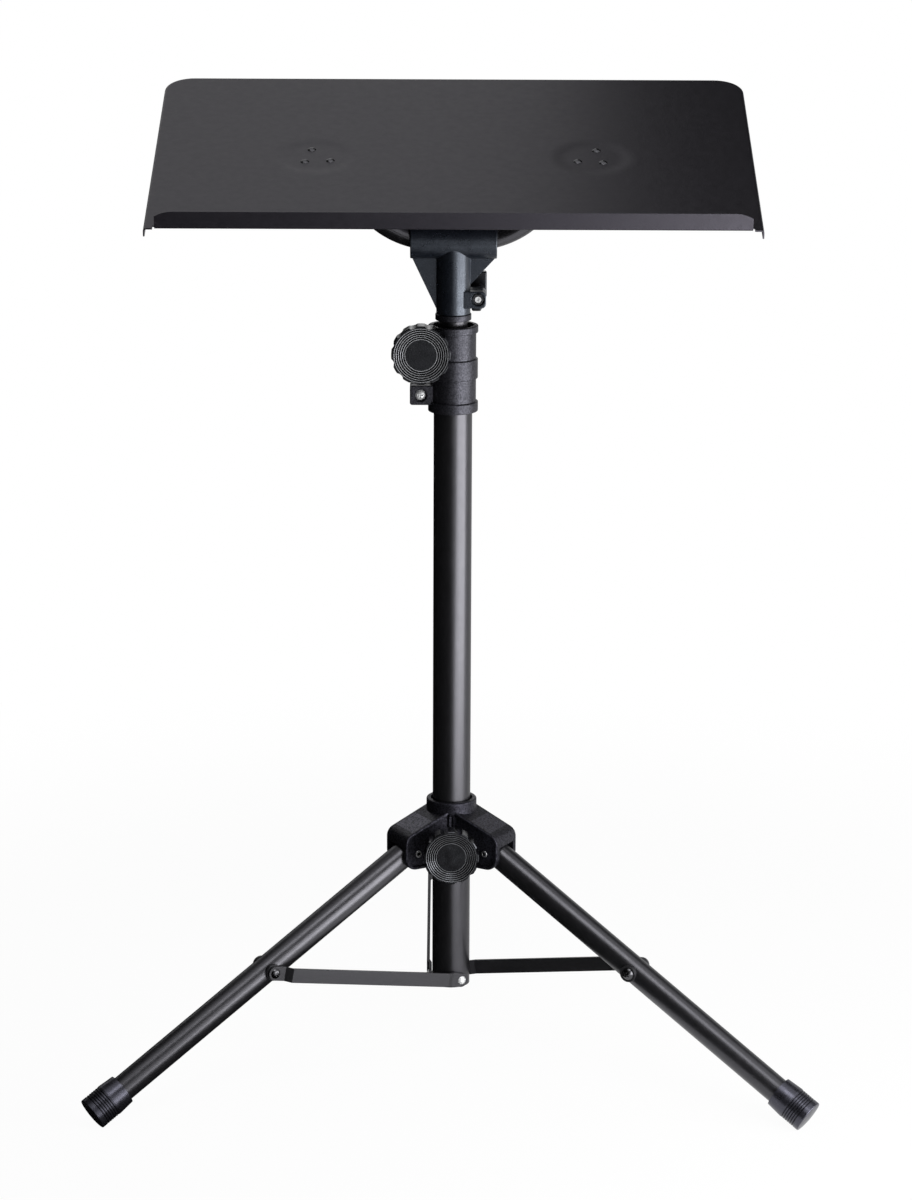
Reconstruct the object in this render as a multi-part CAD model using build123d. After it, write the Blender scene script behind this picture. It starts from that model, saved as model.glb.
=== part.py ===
from build123d import *
import os
from math import atan2, cos, degrees, hypot, radians, sin, sqrt, tan

# Orchestra music stand: a pressed steel desk on a bow, a tilting head on a telescopic column,
# and three tube legs that fold from a sliding hub, held open by flat struts.
# The column axis is upright, the floor is z = 0, and the reader stands on the -Y side.

# Fits
running_fit = 0.05
slip_gap = 0.3
knob_gap = 0.5
cut_over = 1.0

# Column and inner tube
column_diameter = 32.0
column_wall = 1.5
column_bottom_z = 65.6
column_top_z = 598.0
inner_diameter = 24.0
inner_wall = 1.5
inner_length = 558.0
inner_seat = 37.6
glide_height = 22.0
glide_floor = 3.0
glide_gap = 2.0
plug_height = 2.6
plug_inset = 0.2
neck_ring_diameter = 29.8
neck_gap = 4.3
neck_ring_height = 5.3
neck_ring_edge = 0.8

# Legs
leg_diameter = 22.0
leg_wall = 1.5
leg_slope = 31.1
leg_inner_end = 10.0
leg_names = ["left", "right", "back"]
leg_azimuths = [210.0, 330.0, 90.0]
pivot_radius = 40.8
pivot_z = 192.05
pivot_pin_diameter = 6.0
pivot_pin_bore = 3.0
pivot_pin_roll = 0.7

# Feet
foot_length = 32.4
foot_sleeve_length = 14.0
foot_top_diameter = 26.6
foot_step_diameter = 28.8
foot_diameter = 28.4
foot_base = 5.0
foot_flat = 1.0
foot_rib_count = 6
foot_rib_start = 1.3
foot_rib_pitch = 2.2
foot_rib_depth = 0.5
foot_rib_width = 1.1
foot_edge = 0.9
foot_crown = 1.4

# Struts
strut_width = 12.0
strut_thickness = 2.5
strut_leg_reach = 159.8
strut_rivet_rise = 6.8
strut_offset = 19.5
strut_column_gap = 0.4
strut_tab = 9.0
strut_joggle = 5.0
rivet_diameter = 5.0
rivet_head_diameter = 7.4
rivet_head_height = 2.0
rivet_tail_height = 1.6
rivet_tail_diameter = 7.0
bush_diameter = 14.0
bush_rise = 2.0
pivot_screw_diameter = 6.0
pivot_head_diameter = 10.5
pivot_head_height = 2.6
pivot_cross_length = 5.4
pivot_cross_width = 1.2
pivot_cross_depth = 0.7
strut_nut_diameter = 8.6
strut_nut_height = 2.0
nut_cross_length = 3.6
nut_cross_width = 1.0
nut_cross_depth = 0.8

# Hub
hub_drop = 13.25
hub_height = 53.6
hub_ring_height = 11.5
hub_ring_diameter = 42.6
hub_sleeve_diameter = 39.0
hub_mouth_depth = 4.0
hub_mouth_gap = 1.6
arm_reach = 54.0
arm_width = 34.0
arm_roof_rise = 51.7
arm_roof_slope = 0.42
arm_roof_thickness = 3.2
arm_fold_gap = 0.4
arm_top_round = 9.0
arm_bottom_round = 11.0
arm_edge_round = 1.4
arm_rim = 2.2
arm_pocket_depth = 2.2
arm_side_gap = 0.8
boss_diameter = 18.0
boss_front = 24.5
insert_diameter = 11.0
insert_length = 7.0

# Knobs
hub_knob_diameter = 46.4
hub_knob_rise = 16.7
hub_knob_neck_diameter = 15.0
hub_knob_neck = 11.8
height_knob_diameter = 48.8
height_knob_neck = 11.6
knob_depth = 18.5
knob_taper = 4.6
knob_bore_depth = 9.2
knob_lobes = 12
knob_lobe_depth = 1.6
knob_lobe_radius = 5.0
knob_dish = 1.6
knob_center_ratio = 0.54
knob_grooves = 5
knob_groove_depth = 0.7
knob_groove_width = 1.5
knob_edge = 0.7
knob_screw_diameter = 8.0
height_bolt_diameter = 6.0

# Collar that clamps the inner tube
collar_grip = 29.7
collar_height = 72.2
collar_body_diameter = 38.0
collar_band_diameter = 41.0
collar_band_rise = 27.7
collar_band_height = 16.7
collar_flange_diameter = 41.4
collar_bottom_flange_height = 8.4
collar_top_flange_height = 6.0
collar_mouth_diameter = 34.0
collar_mouth_depth = 7.0
collar_slot = 2.4
collar_edge = 0.8
ear_depth = 19.0
ear_reach = 35.7
lower_ear_rise = 6.2
lower_ear_height = 16.3
lower_ear_round = 2.0
ear_screw_x = 27.0
ear_screw_diameter = 5.0
ear_screw_head_diameter = 9.0
ear_screw_head_height = 2.6
ear_cross_length = 4.6
ear_cross_width = 1.1
ear_cross_depth = 1.3
ear_screw_sink = 3.2
ear_screw_well_diameter = 11.4
upper_ear_height = 26.0
upper_ear_round = 5.0
upper_ear_reach = 35.0
height_bolt_x = 26.3
height_bolt_rise = 53.8
height_nut_width = 10.0
height_nut_height = 5.0
collar_nut_width = 8.0
collar_nut_height = 4.0

# Head
tilt_rise = 61.4
sleeve_diameter = 32.0
sleeve_wall = 2.5
sleeve_length = 71.2
head_edge = 0.8
socket_diameter = 28.2
gusset_thickness = 4.0
gusset_left_foot = 2.2
gusset_right_foot = 24.1
gusset_inset = 1.8
gusset_foot_inset = 0.8
clamp_slot = 2.4
clamp_slot_over = 1.5
clamp_ear_depth = 23.0
clamp_ear_reach = 26.8
clamp_ear_rise = 5.5
clamp_ear_height = 14.1
clamp_ear_round = 4.0
clamp_bolt_x = 20.2
clamp_bolt_rise = 13.0
clamp_bolt_diameter = 5.0
clamp_nut_width = 8.0
clamp_nut_height = 4.0
clamp_nut_well_depth = 5.2
clamp_nut_well_diameter = 11.4
bush_end_gap = 1.0

# Wing screw behind the head
wing_ferrule_diameter = 11.0
wing_ferrule_length = 6.0
wing_boss_diameter = 13.0
wing_boss_length = 13.0
wing_up = 17.2
wing_down = 16.2
wing_outer = 7.4
wing_inner = 6.4
wing_shoulder = 9.0
wing_waist = 3.0
wing_top_inner = 3.0
wing_foot_outer = 2.6
wing_foot_inner = 4.8
wing_thickness = 7.0
wing_corner = 1.6
wing_edge = 1.2
stud_end_inset = 0.6
stud_center_diameter = 2.4
stud_center_depth = 1.6

# Desk, laid out on the tilt axis with u up the desk and n square to it
desk_tilt = 16.42
desk_width = 485.4
desk_low_u = -136.4
desk_high_u = 154.4
desk_rise = 73.6
desk_sheet = 1.2
desk_corner = 24.0
desk_flange = 6.0
desk_bend = 2.6
lip_width = 467.6
lip_height = 15.0
lip_setback = 0.9
lip_corner_run = 14.0
lip_corner_drop = 4.2
lip_relief = 1.6
desk_rivet_diameter = 4.4
desk_rivet_head_diameter = 7.4
desk_rivet_head_height = 1.6
desk_rivet_x = [115.6, 120.5, 99.9]
desk_rivet_u = [11.6, -11.5, -9.4]
dimple_x = 112.0
dimple_u = -3.0
dimple_floor = 20.0
dimple_rim = 36.0
dimple_depth = 0.5

# Bow that carries the desk
bow_diameter = 19.0
bow_wall = 1.5
bow_straight = 15.0
bow_bend_radius = 68.0
bow_angle = 65.0
bow_tab_thickness = 3.2
bow_tab_width = 31.0
bow_tab_edge = 1.4
bow_tab_bend = 5.0
bow_tab_end_x = 128.0

# Values worked out from the driving dimensions
column_r = column_diameter / 2
column_bore_r = column_r - column_wall
leg_r = leg_diameter / 2
slope_cos = cos(radians(leg_slope))
slope_sin = sin(radians(leg_slope))
foot_end_z = foot_diameter / 2 * slope_cos - foot_flat
foot_end_s = (pivot_z - foot_end_z) / slope_sin
foot_top_s = foot_end_s - foot_length
leg_end_s = foot_end_s - foot_base
strut_rivet_z = column_bottom_z + strut_rivet_rise
strut_leg_r = pivot_radius + strut_leg_reach * slope_cos
strut_leg_z = pivot_z - strut_leg_reach * slope_sin
strut_length = hypot(strut_leg_r, strut_leg_z - strut_rivet_z)
strut_angle = degrees(atan2(strut_leg_z - strut_rivet_z, strut_leg_r))
bush_face = leg_r + bush_rise
strut_column_y = column_r + strut_column_gap + strut_thickness / 2
strut_leg_y = bush_face + slip_gap + strut_thickness / 2
sleeve_r = sleeve_diameter / 2
sleeve_bore_r = sleeve_r - sleeve_wall
collar_bottom_z = column_top_z - collar_grip
collar_top_z = collar_bottom_z + collar_height
height_bolt_z = collar_bottom_z + height_bolt_rise
inner_lowest_z = strut_rivet_z + rivet_tail_diameter / 2 + glide_gap + glide_floor
neck_ring_lowest_z = inner_lowest_z + inner_length - inner_seat - slip_gap - neck_ring_height
neck_ring_bottom_z = max(collar_top_z + neck_gap, neck_ring_lowest_z)
socket_bottom_z = neck_ring_bottom_z + neck_ring_height + slip_gap
inner_top_z = socket_bottom_z + inner_seat
inner_bottom_z = inner_top_z - inner_length
tilt_axis_z = socket_bottom_z + tilt_rise
hub_bottom_z = pivot_z - hub_drop
hub_top_z = hub_bottom_z + hub_height
arm_roof_z = hub_bottom_z + arm_roof_rise
hub_knob_z = hub_bottom_z + hub_knob_rise


def rod(diameter, start, end):
    """Round bar along +X from start to end."""
    length = end - start
    return Pos((start + end) / 2, 0, 0) * Rot(0, 90, 0) * Cylinder(diameter / 2, length)


def cross_rod(diameter, start, end):
    """Round bar along +Y from start to end."""
    length = end - start
    return Pos(0, (start + end) / 2, 0) * Rot(90, 0, 0) * Cylinder(diameter / 2, length)


def post(diameter, bottom, top):
    """Upright round bar between two heights."""
    return Pos(0, 0, (bottom + top) / 2) * Cylinder(diameter / 2, top - bottom)


def block(x0, x1, y0, y1, z0, z1):
    """Box between two corners."""
    return Pos((x0 + x1) / 2, (y0 + y1) / 2, (z0 + z1) / 2) * Box(x1 - x0, y1 - y0, z1 - z0)


def dome(diameter, height):
    """Low round head standing on z = 0."""
    radius = (diameter * diameter / 4 + height * height) / (2 * height)
    ball = Pos(0, 0, height - radius) * Sphere(radius)
    return ball & post(diameter, 0, height)


def hex_nut(width, height, bore):
    """Hexagon nut standing on z = 0, with its bore."""
    body = extrude(RegularPolygon(width / 2, 6, major_radius=False), height)
    return body - post(bore, -1, height + 1)


def cross_cut(length, width, depth):
    """Cross recess for a screwdriver, cut along Y to a depth each way."""
    return Box(length, 2 * depth, width) + Box(width, 2 * depth, length)


def slab(points, y0, y1):
    """Plate with the given XZ outline between two Y planes."""
    face = Plane.XZ * make_face(Polyline(*points, close=True))
    return Pos(0, y1, 0) * extrude(face, y1 - y0)


# Column: steel tube with rivet holes near its foot, closed below by a plastic plug
outer_tube = post(column_diameter, column_bottom_z, column_top_z)
outer_tube -= post(2 * column_bore_r, column_bottom_z - cut_over, column_top_z + cut_over)
rivet_hole = Pos(0, 0, strut_rivet_z) * cross_rod(rivet_diameter, 0, column_diameter)
for azimuth in leg_azimuths:
    outer_tube -= Rot(0, 0, azimuth) * rivet_hole
plug_diameter = 2 * (column_bore_r - running_fit)
plug_bottom_z = column_bottom_z + plug_inset
column_plug = post(plug_diameter, plug_bottom_z, plug_bottom_z + plug_height)

# Inner tube: slides in the column on a plastic glide and carries a stop ring under the head
inner_tube = post(inner_diameter, inner_bottom_z, inner_top_z)
inner_bore = inner_diameter - 2 * inner_wall
inner_tube -= post(inner_bore, inner_bottom_z - cut_over, inner_top_z + cut_over)
glide_diameter = 2 * (column_bore_r - running_fit)
glide_bottom_z = inner_bottom_z - glide_floor
glide_top_z = inner_bottom_z + glide_height
inner_glide = post(glide_diameter, glide_bottom_z, glide_top_z)
inner_glide -= post(inner_diameter, inner_bottom_z, glide_top_z + cut_over)
inner_glide -= post(inner_bore, glide_bottom_z - cut_over, inner_bottom_z + cut_over)
neck_ring = post(neck_ring_diameter, neck_ring_bottom_z, neck_ring_bottom_z + neck_ring_height)
neck_ring = fillet(neck_ring.edges(), neck_ring_edge)
neck_ring -= post(inner_diameter, neck_ring_bottom_z - cut_over, socket_bottom_z)

# Legs: steel tubes pinned in the hub, with a rubber foot and the strut pivot on each
on_leg = Pos(pivot_radius, 0, pivot_z) * Rot(0, leg_slope, 0)
leg_tube = rod(leg_diameter, -leg_inner_end, leg_end_s)
leg_tube -= rod(leg_diameter - 2 * leg_wall, -leg_inner_end - cut_over, leg_end_s + cut_over)
leg_tube -= cross_rod(pivot_pin_diameter + 2 * running_fit, -leg_diameter, leg_diameter)
leg_tube -= Pos(strut_leg_reach, 0, 0) * cross_rod(pivot_screw_diameter, -leg_diameter, leg_diameter)
leg_solid = on_leg * leg_tube

foot_step_s = foot_top_s + foot_sleeve_length
foot_cone = Pos((foot_top_s + foot_step_s) / 2, 0, 0) * Rot(0, 90, 0) * Cone(
    foot_top_diameter / 2, foot_step_diameter / 2, foot_sleeve_length
)
foot_crown_s = foot_end_s + foot_crown
crown_r = (foot_diameter ** 2 / 4 + foot_crown ** 2) / (2 * foot_crown)
foot_pad = rod(foot_diameter, foot_step_s, foot_crown_s)
foot_pad &= Pos(foot_crown_s - crown_r, 0, 0) * Sphere(crown_r)
foot_pad = fillet(foot_pad.edges().sort_by(Axis.X)[-1], foot_edge)
foot_rubber = foot_cone + foot_pad
for rib in range(foot_rib_count):
    rib_s = foot_step_s + foot_rib_start + foot_rib_pitch * rib
    rib_end_s = rib_s + foot_rib_width
    groove = rod(foot_diameter + 2 * cut_over, rib_s, rib_end_s)
    groove -= rod(foot_diameter - 2 * foot_rib_depth, rib_s - cut_over, rib_end_s + cut_over)
    foot_rubber -= groove
foot_rubber -= rod(leg_diameter, foot_top_s - cut_over, leg_end_s)
floor_cut = block(0, 2 * foot_end_s, -foot_diameter, foot_diameter, -foot_diameter, 0)
foot_solid = on_leg * foot_rubber - floor_cut

bush_pair = Pos(strut_leg_reach, 0, 0) * cross_rod(bush_diameter, -bush_face, bush_face)
bush_pair -= rod(leg_diameter, 0, leg_end_s)
bush_pair -= Pos(strut_leg_reach, 0, 0) * cross_rod(pivot_screw_diameter, -2 * leg_r, 2 * leg_r)
bush_solid = on_leg * bush_pair
pivot_screw = cross_rod(pivot_screw_diameter, -bush_face, bush_face)
pivot_screw += Pos(0, -bush_face, 0) * Rot(90, 0, 0) * dome(pivot_head_diameter, pivot_head_height)
pivot_cross = cross_cut(pivot_cross_length, pivot_cross_width, pivot_cross_depth)
pivot_screw -= Pos(0, -bush_face - pivot_head_height, 0) * pivot_cross
screw_solid = on_leg * Pos(strut_leg_reach, 0, 0) * pivot_screw

# Struts: flat steel bars cranked at both ends, riveted to the column and pivoted on the leg
on_strut = Pos(0, 0, strut_rivet_z) * Rot(0, -strut_angle, 0)
strut_half = strut_thickness / 2
strut_line = [
    (-strut_width, strut_column_y),
    (strut_tab, strut_column_y),
    (strut_tab + strut_joggle, strut_offset),
    (strut_length - strut_tab - strut_joggle, strut_offset),
    (strut_length - strut_tab, strut_leg_y),
    (strut_length + strut_width, strut_leg_y),
]
strut_near = [(x, y - strut_half) for x, y in strut_line]
strut_far = [(x, y + strut_half) for x, y in reversed(strut_line)]
strut_path = make_face(Polyline(*strut_near, *strut_far, close=True))
strut_bar = extrude(strut_path, strut_width / 2, both=True)
strut_face = Pos(strut_length / 2, 0, 0) * SlotCenterToCenter(strut_length, strut_width)
strut_bar &= Pos(0, 2 * strut_offset, 0) * extrude(Plane.XZ * strut_face, 3 * strut_offset)
strut_bar -= cross_rod(rivet_diameter + 2 * running_fit, 0, 2 * strut_offset)
nut_hole = cross_rod(pivot_screw_diameter, 0, 2 * strut_offset)
strut_bar -= Pos(strut_length, 0, 0) * nut_hole
strut_solid = on_strut * strut_bar

strut_outer_y = strut_leg_y + strut_half
strut_nut = cross_rod(pivot_screw_diameter, strut_leg_y - strut_half, strut_outer_y)
strut_nut += Pos(0, strut_outer_y, 0) * Rot(-90, 0, 0) * dome(strut_nut_diameter, strut_nut_height)
nut_cross = cross_cut(nut_cross_length, nut_cross_width, nut_cross_depth)
strut_nut -= Pos(0, strut_outer_y + strut_nut_height, 0) * nut_cross
strut_nut_solid = on_strut * Pos(strut_length, 0, 0) * strut_nut

rivet_out = strut_column_y + strut_half + running_fit
strut_rivet = cross_rod(rivet_diameter, column_bore_r - rivet_tail_height, rivet_out)
strut_rivet += Pos(0, rivet_out, 0) * Rot(-90, 0, 0) * dome(rivet_head_diameter, rivet_head_height)
rivet_tail = cross_rod(rivet_tail_diameter, column_bore_r - 2 * rivet_tail_height, column_bore_r)
strut_rivet += rivet_tail & post(2 * column_bore_r, -column_r, column_r)
rivet_solid = Pos(0, 0, strut_rivet_z) * strut_rivet

# Hub: moulded sleeve that slides on the column, with three hooded arms for the legs
end_z = arm_roof_z - arm_roof_slope * arm_reach
arm_outline = [
    (0, hub_bottom_z),
    (arm_reach, hub_bottom_z),
    (arm_reach, end_z),
    (0, arm_roof_z),
]
arm_half = arm_width / 2
arm_body = slab(arm_outline, -arm_half, arm_half)
arm_corners = arm_body.edges().filter_by(Axis.Y).group_by(Axis.X)[-1].sort_by(Axis.Z)
arm_body = fillet(arm_corners[-1], arm_top_round)
arm_corners = arm_body.edges().filter_by(Axis.Y).group_by(Axis.X)[-1].sort_by(Axis.Z)
arm_body = fillet(arm_corners[0], arm_bottom_round)
outer_faces = arm_body.faces().filter_by(Axis.Y)
arm_body = fillet(outer_faces.edges().filter_by(lambda edge: edge.center().X > 1), arm_edge_round)

pocket_x = arm_half * tan(radians(30)) + arm_rim
pocket_outline = [
    (pocket_x, hub_bottom_z + arm_rim),
    (arm_reach - arm_rim, hub_bottom_z + arm_rim),
    (arm_reach - arm_rim, end_z + arm_roof_slope * arm_rim - arm_rim),
    (pocket_x, arm_roof_z - arm_roof_slope * pocket_x - arm_rim),
]
pocket = slab(pocket_outline, arm_half - arm_pocket_depth, arm_half + cut_over)
pocket_corners = pocket.edges().filter_by(Axis.Y).group_by(Axis.X)[-1].sort_by(Axis.Z)
pocket = fillet(pocket_corners[-1], arm_top_round - arm_rim)
pocket_corners = pocket.edges().filter_by(Axis.Y).group_by(Axis.X)[-1].sort_by(Axis.Z)
pocket = fillet(pocket_corners[0], arm_bottom_round - arm_rim)

channel_half = leg_r + arm_side_gap
channel_in = hub_sleeve_diameter / 2 + arm_roof_thickness
wall_x = pivot_radius + leg_r + arm_fold_gap
stop_z = pivot_z - (wall_x - pivot_radius) * tan(radians(leg_slope)) + leg_r / slope_cos + knob_gap
roof_under_z = arm_roof_z - arm_roof_thickness * sqrt(1 + arm_roof_slope * arm_roof_slope)
channel_outline = [
    (channel_in, hub_bottom_z - cut_over),
    (channel_in, roof_under_z - arm_roof_slope * channel_in),
    (wall_x, roof_under_z - arm_roof_slope * wall_x),
    (wall_x, stop_z),
    (arm_reach + cut_over, stop_z),
    (arm_reach + cut_over, hub_bottom_z - cut_over),
]
channel = slab(channel_outline, -channel_half, channel_half)
pin_reach = arm_half - arm_pocket_depth / 2
pin_hole = cross_rod(pivot_pin_diameter, -arm_half - cut_over, arm_half + cut_over)
pin_hole = Pos(pivot_radius, 0, pivot_z) * pin_hole

hub = post(hub_sleeve_diameter, hub_bottom_z, hub_top_z)
hub_ring = post(hub_ring_diameter, hub_top_z - hub_ring_height, hub_top_z)
hub += fillet(hub_ring.edges(), arm_edge_round)
for azimuth in leg_azimuths:
    hub += Rot(0, 0, azimuth) * arm_body
hub += Pos(0, 0, hub_knob_z) * cross_rod(boss_diameter, -boss_front, 0)
for azimuth in leg_azimuths:
    hub -= Rot(0, 0, azimuth) * (channel + pin_hole)
    hub -= Rot(0, 0, azimuth) * (pocket + mirror(pocket, Plane.XZ))
hub += Pos(0, 0, hub_knob_z) * cross_rod(boss_diameter, -boss_front, -column_r)
hub_bore = column_diameter + 2 * running_fit
hub -= post(hub_bore, hub_bottom_z - cut_over, hub_top_z + cut_over)
hub -= post(hub_bore + 2 * hub_mouth_gap, hub_top_z - hub_mouth_depth, hub_top_z + cut_over)
hub -= Pos(0, 0, hub_knob_z) * cross_rod(knob_screw_diameter + 2 * running_fit, -2 * boss_front, 0)
insert_back = -boss_front + insert_length
hub -= Pos(0, 0, hub_knob_z) * cross_rod(insert_diameter, -boss_front - cut_over, insert_back)

hub_insert = cross_rod(insert_diameter, -boss_front, insert_back)
hub_insert -= cross_rod(knob_screw_diameter + 2 * running_fit, -2 * boss_front, 0)
hub_insert = Pos(0, 0, hub_knob_z) * hub_insert
leg_pin = cross_rod(pivot_pin_diameter, -pin_reach, pin_reach)
leg_pin = fillet(leg_pin.edges(), pivot_pin_roll)
leg_pin -= cross_rod(pivot_pin_bore, -pin_reach - cut_over, pin_reach + cut_over)
pin_solid = Pos(pivot_radius, 0, pivot_z) * leg_pin


def knob(diameter, neck_diameter, neck, bore):
    """Fluted plastic knob on +Z: neck at the back, ridged and dished face in front."""
    radius = diameter / 2
    top = neck + knob_depth
    center_r = radius * knob_center_ratio
    rim_r = radius - knob_lobe_depth - knob_edge
    side = [
        (0, 0),
        (neck_diameter / 2, 0),
        (neck_diameter / 2, neck),
        (radius - knob_lobe_depth, neck),
        (radius, neck + knob_taper),
        (radius, top - knob_edge),
        (radius - knob_edge, top),
        (rim_r, top),
        (center_r, top - knob_dish),
        (0, top - knob_dish),
    ]
    section = Plane.XZ * make_face(Polyline(*side, close=True))
    body = revolve(section, Axis.Z)
    lobe_r = radius + knob_lobe_radius - knob_lobe_depth
    for lobe in range(knob_lobes):
        cutter = Pos(lobe_r, 0, 0) * post(2 * knob_lobe_radius, neck - cut_over, top + cut_over)
        body -= Rot(0, 0, 360 / knob_lobes * (lobe + 0.5)) * cutter
    pitch = (rim_r - center_r) / knob_grooves
    for ring in range(knob_grooves):
        ring_r = center_r + pitch * (ring + 0.5)
        ring_z = top - knob_dish * (rim_r - ring_r) / (rim_r - center_r)
        spread = knob_groove_width / 2 * (knob_groove_depth + knob_dish) / knob_groove_depth
        vee = [
            (ring_r - spread, ring_z + knob_dish),
            (ring_r + spread, ring_z + knob_dish),
            (ring_r, ring_z - knob_groove_depth),
        ]
        body -= revolve(Plane.XZ * make_face(Polyline(*vee, close=True)), Axis.Z)
    return body - post(bore, -cut_over, neck + knob_bore_depth)


# Hub knob: its screw presses on the column through the insert in the hub's boss
hub_knob_place = Pos(0, -boss_front - knob_gap, hub_knob_z) * Rot(90, 0, 0)
hub_knob = hub_knob_place * knob(
    hub_knob_diameter, hub_knob_neck_diameter, hub_knob_neck, knob_screw_diameter
)
hub_screw_back = -boss_front - knob_gap - hub_knob_neck - knob_bore_depth
hub_screw = cross_rod(knob_screw_diameter, hub_screw_back, -column_r - slip_gap)
hub_screw = Pos(0, 0, hub_knob_z) * hub_screw
hub_screw -= hub_knob

# Collar: split plastic clamp, screwed to the column below and closed on the inner tube above
collar = post(collar_body_diameter, collar_bottom_z, collar_top_z)
bottom_flange = post(
    collar_flange_diameter, collar_bottom_z, collar_bottom_z + collar_bottom_flange_height
)
top_flange = post(collar_flange_diameter, collar_top_z - collar_top_flange_height, collar_top_z)
band_bottom_z = collar_bottom_z + collar_band_rise
band = post(collar_band_diameter, band_bottom_z, band_bottom_z + collar_band_height)
collar += fillet(bottom_flange.edges(), collar_edge)
collar += fillet(top_flange.edges(), collar_edge)
collar += fillet(band.edges(), collar_edge)
ear_half = ear_depth / 2
lower_ear_z = collar_bottom_z + lower_ear_rise
lower_ear = block(-ear_reach, 0, -ear_half, ear_half, lower_ear_z, lower_ear_z + lower_ear_height)
lower_ear = fillet(lower_ear.edges().filter_by(Axis.Y), lower_ear_round)
lower_ear = fillet(lower_ear.faces().filter_by(Axis.Y).edges(), collar_edge)
upper_bottom_z = height_bolt_z - upper_ear_height / 2
upper_top_z = height_bolt_z + upper_ear_height / 2
upper_ear = block(-upper_ear_reach, 0, -ear_half, ear_half, upper_bottom_z, upper_top_z)
upper_ear = fillet(upper_ear.edges().filter_by(Axis.Y), upper_ear_round)
upper_ear = fillet(upper_ear.faces().filter_by(Axis.Y).edges(), collar_edge)
collar += lower_ear
collar += upper_ear
collar -= post(column_diameter, collar_bottom_z - cut_over, column_top_z)
collar -= post(inner_diameter + 2 * running_fit, collar_bottom_z, collar_top_z + cut_over)
mouth_bottom_z = collar_top_z - collar_mouth_depth
collar -= post(collar_mouth_diameter, mouth_bottom_z, collar_top_z + cut_over)
slot_half = collar_slot / 2
slot_bottom_z = collar_bottom_z - cut_over
collar -= block(-2 * ear_reach, 0, -slot_half, slot_half, slot_bottom_z, collar_top_z + cut_over)
ear_screw_z = lower_ear_z + lower_ear_height / 2
at_ear_screw = Pos(-ear_screw_x, 0, ear_screw_z)
well_bottom = -ear_half + ear_screw_sink
collar -= at_ear_screw * cross_rod(ear_screw_diameter, -ear_depth, ear_depth)
collar -= at_ear_screw * cross_rod(ear_screw_well_diameter, -ear_depth, well_bottom)
at_height_bolt = Pos(-height_bolt_x, 0, height_bolt_z)
collar -= at_height_bolt * cross_rod(height_bolt_diameter + 2 * running_fit, -ear_depth, ear_depth)
nut_on_back = Rot(90, 0, 0)
collar_nut_well = Pos(0, ear_depth, 0) * nut_on_back * extrude(
    RegularPolygon(collar_nut_width / 2, 6, major_radius=False), ear_half + collar_nut_height
)
collar -= at_ear_screw * collar_nut_well
height_nut_well = Pos(0, ear_depth, 0) * nut_on_back * extrude(
    RegularPolygon(height_nut_width / 2, 6, major_radius=False), ear_half + height_nut_height
)
collar -= at_height_bolt * height_nut_well

collar_nut = Pos(0, ear_half, 0) * nut_on_back * hex_nut(
    collar_nut_width, collar_nut_height, ear_screw_diameter
)
collar_nut = at_ear_screw * collar_nut
height_nut = Pos(0, ear_half, 0) * nut_on_back * hex_nut(
    height_nut_width, height_nut_height, height_bolt_diameter + 2 * running_fit
)
height_nut = at_height_bolt * height_nut
collar_screw = cross_rod(ear_screw_diameter, well_bottom, ear_half)
ear_screw_head = dome(ear_screw_head_diameter, ear_screw_head_height)
collar_screw += Pos(0, well_bottom, 0) * Rot(90, 0, 0) * ear_screw_head
ear_cross = cross_cut(ear_cross_length, ear_cross_width, ear_cross_depth)
collar_screw -= Pos(0, well_bottom - ear_screw_head_height, 0) * ear_cross
collar_screw = at_ear_screw * collar_screw

# Height knob: its bolt closes the collar's upper ears
height_knob_place = at_height_bolt * Pos(0, -ear_half - knob_gap, 0) * Rot(90, 0, 0)
height_knob = height_knob_place * knob(
    height_knob_diameter, hub_knob_neck_diameter, height_knob_neck, height_bolt_diameter
)
height_bolt = cross_rod(
    height_bolt_diameter, -ear_half - knob_gap - height_knob_neck - knob_bore_depth, ear_half + slip_gap
)
height_bolt = at_height_bolt * height_bolt
height_bolt -= height_knob

# Head: moulded T, its socket clamped round the inner tube and its sleeve round the bow
half_sleeve = sleeve_length / 2
head = Pos(0, 0, tilt_axis_z) * rod(sleeve_diameter, -half_sleeve, half_sleeve)
head = fillet(head.edges(), head_edge)
head += post(socket_diameter, socket_bottom_z, tilt_axis_z)
gusset_x = half_sleeve - gusset_inset
gusset_top_z = tilt_axis_z - sleeve_r + gusset_thickness
left_foot_z = socket_bottom_z + gusset_left_foot
right_foot_z = socket_bottom_z + gusset_right_foot
gusset_left = [
    (-gusset_x, gusset_top_z),
    (-gusset_x, tilt_axis_z - sleeve_r),
    (-socket_diameter / 2 + gusset_foot_inset, left_foot_z),
    (0, left_foot_z),
    (0, gusset_top_z),
]
gusset_right = [
    (gusset_x, gusset_top_z),
    (gusset_x, tilt_axis_z - sleeve_r),
    (socket_diameter / 2, right_foot_z),
    (0, right_foot_z),
    (0, gusset_top_z),
]
head += slab(gusset_left, -gusset_thickness / 2, gusset_thickness / 2)
head += slab(gusset_right, -gusset_thickness / 2, gusset_thickness / 2)
clamp_half = clamp_ear_depth / 2
clamp_ear_z = socket_bottom_z + clamp_ear_rise
clamp_ear_top_z = clamp_ear_z + clamp_ear_height
clamp_ear = block(0, clamp_ear_reach, -clamp_half, clamp_half, clamp_ear_z, clamp_ear_top_z)
clamp_ear = fillet(clamp_ear.edges().filter_by(Axis.Y).group_by(Axis.X)[-1], clamp_ear_round)
clamp_ear = fillet(clamp_ear.faces().filter_by(Axis.Y).edges(), head_edge)
head += clamp_ear
head -= post(inner_diameter + 2 * running_fit, socket_bottom_z - cut_over, inner_top_z + cut_over)
head -= Pos(0, 0, tilt_axis_z) * rod(2 * sleeve_bore_r, -sleeve_length, sleeve_length)
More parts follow.
